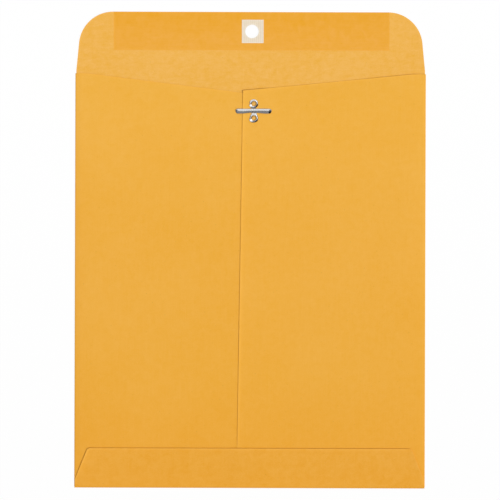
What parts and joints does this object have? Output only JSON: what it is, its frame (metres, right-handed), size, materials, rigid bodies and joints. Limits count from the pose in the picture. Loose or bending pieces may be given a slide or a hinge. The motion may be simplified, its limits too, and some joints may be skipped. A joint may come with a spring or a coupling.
{
  "type": "clasp envelope",
  "caption": "Open-end kraft paper envelope with an unfolded gummed flap, a punched and patched closure hole, and a metal clasp with prongs that bend flat or upright.",
  "frame": {"origin": "on the surface that the envelope lies on, under the middle of its open outline", "axes": "+X across the envelope to the right as seen from the front, +Y from the bottom fold to the flap's tip, +Z out of the front, towards the clasp"},
  "size_m": [0.254, 0.345, 0.0019],
  "materials": {
    "kraft_back": "matte kraft paper, the outer back and the inside of the pocket",
    "kraft_front": "matte kraft paper, machine-finished outer face",
    "kraft_inner": "matte kraft paper, inner face",
    "flap_gum": "dry remoistenable gum, satin",
    "cloth_patch": "off-white reinforcing patch, matte",
    "dry_adhesive": "dried paste film",
    "tinned_steel": "bright tinned steel"
  },
  "bodies": {
    "pocket": {"back_panel": "kraft_back", "left_side_panel": "kraft_front", "right_side_panel": "kraft_front", "bottom_flap": "kraft_front", "left_side_fold": "kraft_front", "right_side_fold": "kraft_front", "bottom_fold": "kraft_front", "flap_crease": "kraft_inner", "seam_glue": "dry_adhesive", "bottom_glue_left": "dry_adhesive", "bottom_glue_right": "dry_adhesive", "clasp_base_plate": "tinned_steel", "upper_eyelet": "tinned_steel", "lower_eyelet": "tinned_steel"},
    "closure_flap": {"closure_flap": "kraft_inner", "flap_gum": "flap_gum", "hole_patch": "cloth_patch"},
    "left_prong": {"left_prong": "tinned_steel"},
    "right_prong": {"right_prong": "tinned_steel"}
  },
  "joints": [
    {"name": "flap_fold", "type": "hinge", "parent": "pocket", "child": "closure_flap", "pos_m": [0, 0.1298, 0.0006], "axis": [1, 0, 0], "range_deg": [0, 177]},
    {"name": "left_prong_bend", "type": "hinge", "parent": "pocket", "child": "left_prong", "pos_m": [0.00135, 0.10115, 0.00135], "axis": [0, 1, 0], "range_deg": [0, 90]},
    {"name": "right_prong_bend", "type": "hinge", "parent": "pocket", "child": "right_prong", "pos_m": [0.00265, 0.10115, 0.00135], "axis": [0, -1, 0], "range_deg": [0, 90]}
  ]
}
